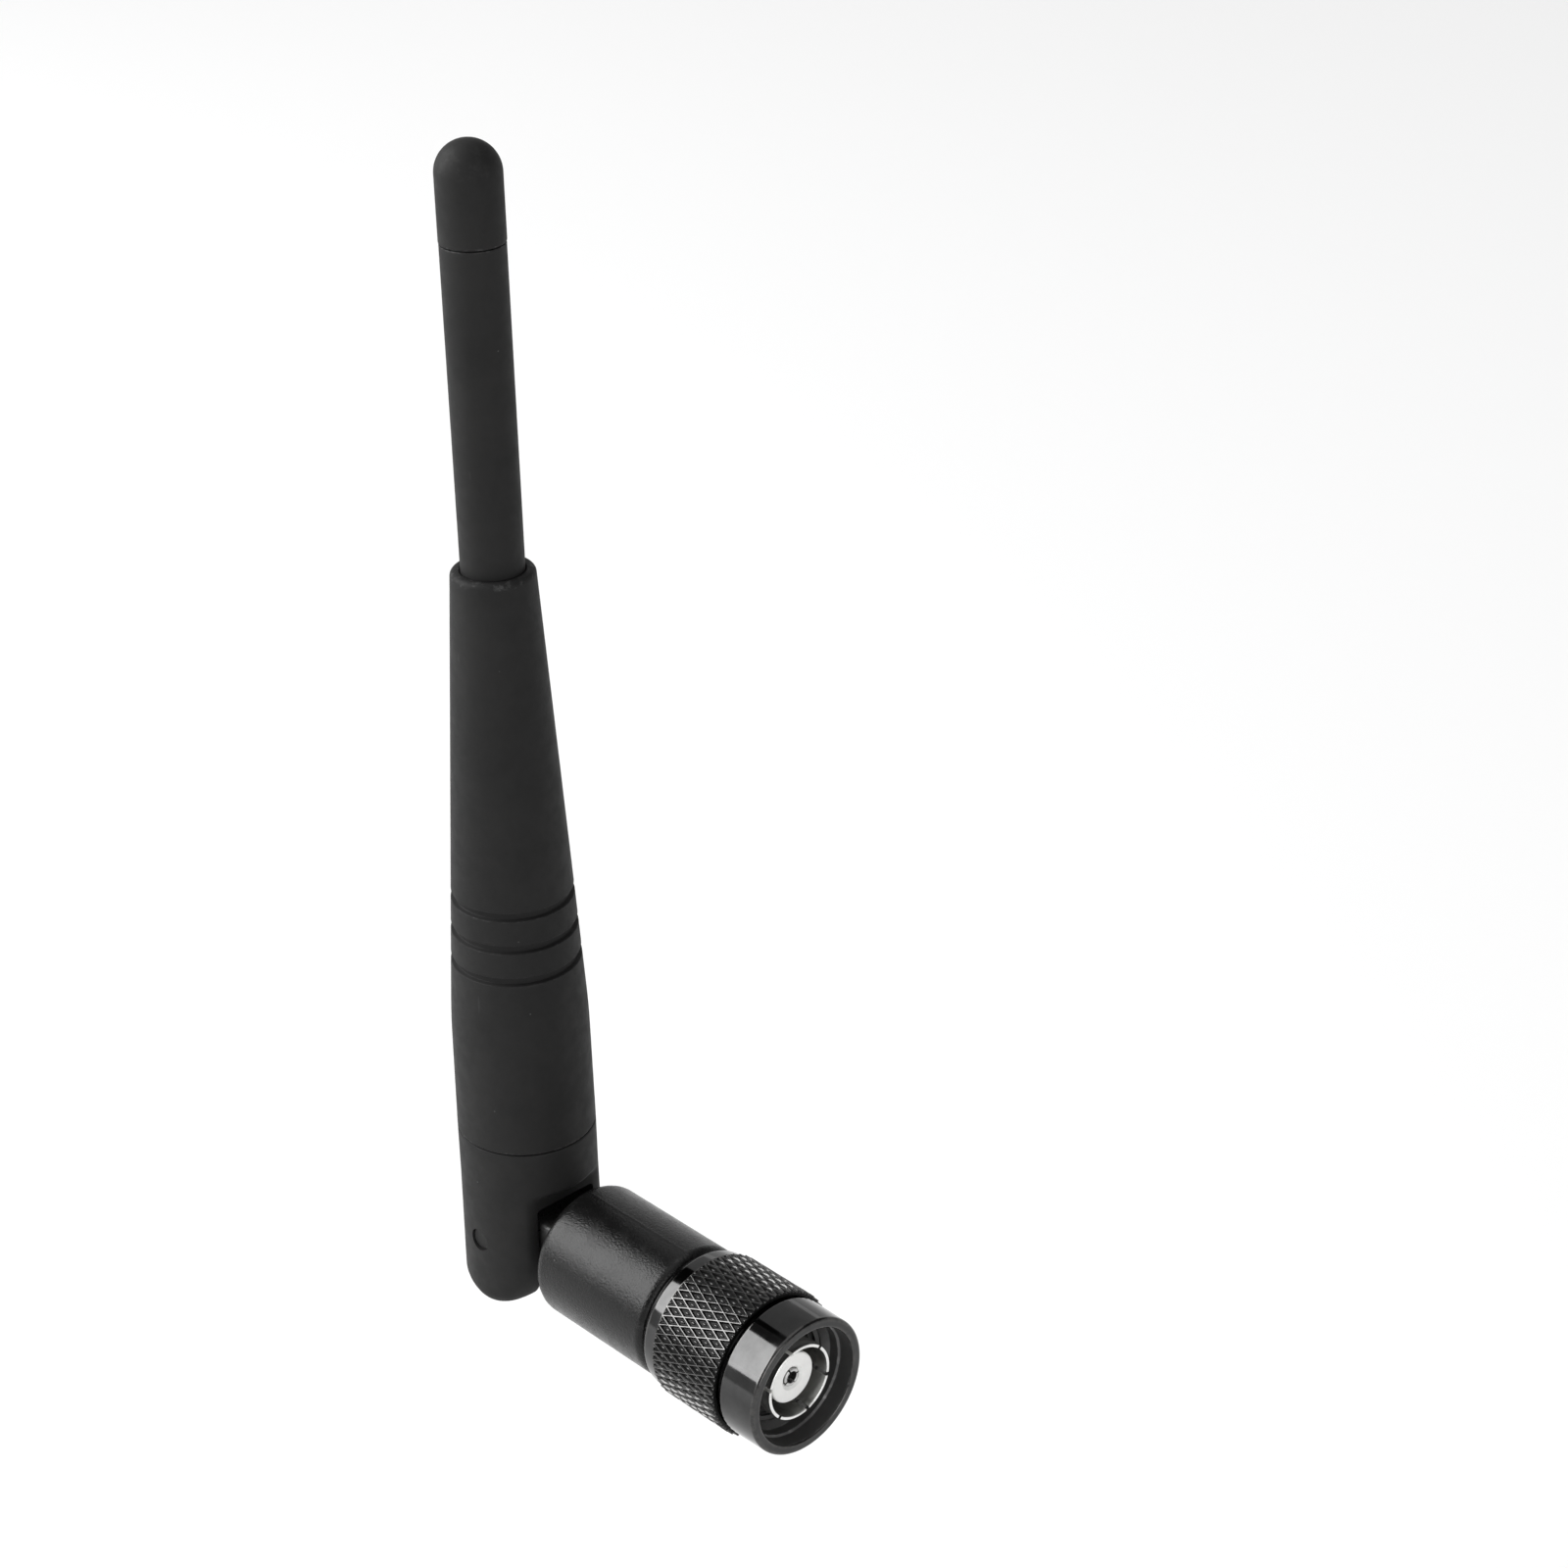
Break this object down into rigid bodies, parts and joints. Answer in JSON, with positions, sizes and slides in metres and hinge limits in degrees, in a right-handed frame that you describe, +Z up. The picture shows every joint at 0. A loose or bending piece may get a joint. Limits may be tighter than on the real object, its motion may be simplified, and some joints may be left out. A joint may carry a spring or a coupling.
{
  "type": "articulated whip antenna",
  "caption": "Slim tapered whip antenna on a tilting knuckle and swivel barrel, with a knurled nut around a coaxial threaded plug; radiates evenly all round.",
  "frame": {"origin": "centre of the plug's sealing plane, on the connector's axis, where a jack's front face seats", "axes": "+X out of the plug along the connector's axis; +Z up along the mast in the 90-degree rest pose; Y along the tilt hinge"},
  "size_m": [0.05, 0.016, 0.1265],
  "materials": {
    "black_plastic": "matte moulded",
    "satin_black_plastic": "satin, fine spark-eroded grain",
    "black_plating": "gloss black plating over brass",
    "nickel": "bright nickel plating",
    "brass": "turned",
    "copper": "bare copper",
    "steel": "plain",
    "blackened_steel": "black oxide",
    "white_ptfe": "turned PTFE",
    "black_rubber": "matte",
    "brown_jacket": "smooth cable jacket"
  },
  "bodies": {
    "connector": {"connector_shell": "nickel", "outer_contact": "nickel", "dielectric_insulator": "white_ptfe", "centre_socket": "nickel", "swivel_o_ring": "black_rubber", "face_gasket": "black_rubber", "nut_snap_ring": "steel", "swivel_retaining_ring": "steel", "crimp_ferrule": "copper", "coax_lead_barrel": "brown_jacket", "coax_dielectric_plug": "white_ptfe", "coax_core_plug": "copper"},
    "nut": {"coupling_nut": "black_plating"},
    "barrel": {"barrel_shell": "satin_black_plastic", "hinge_tongue": "black_plastic", "swivel_bushing": "brass", "coax_lead_bend": "brown_jacket"},
    "mast": {"tapered_sheath": "black_plastic", "whip_tube": "black_plastic", "tip_cap": "black_plastic", "knuckle_fork": "black_plastic", "hinge_pin_near": "blackened_steel", "hinge_pin_far": "blackened_steel", "cable_grommet": "black_rubber", "coax_lead_mast": "brown_jacket", "coax_dielectric_top": "white_ptfe", "coax_core_top": "copper", "sleeve_collar": "copper", "lower_sleeve": "brass", "feed_bead": "white_ptfe", "upper_radiator": "brass", "radiator_spacer": "white_ptfe", "sleeve_spacer": "white_ptfe"}
  },
  "joints": [
    {"name": "nut_spin", "type": "hinge", "parent": "connector", "child": "nut", "pos_m": [-0.001, 0, 0], "axis": [1, 0, 0], "continuous": true},
    {"name": "barrel_swivel", "type": "hinge", "parent": "connector", "child": "barrel", "pos_m": [-0.014, 0, 0], "axis": [1, 0, 0], "range_deg": [-180, 180]},
    {"name": "mast_tilt", "type": "hinge", "parent": "barrel", "child": "mast", "pos_m": [-0.035, 0, 0], "axis": [0, -1, 0], "range_deg": [0, 90], "deforming": ["coax_lead_bend"]}
  ]
}
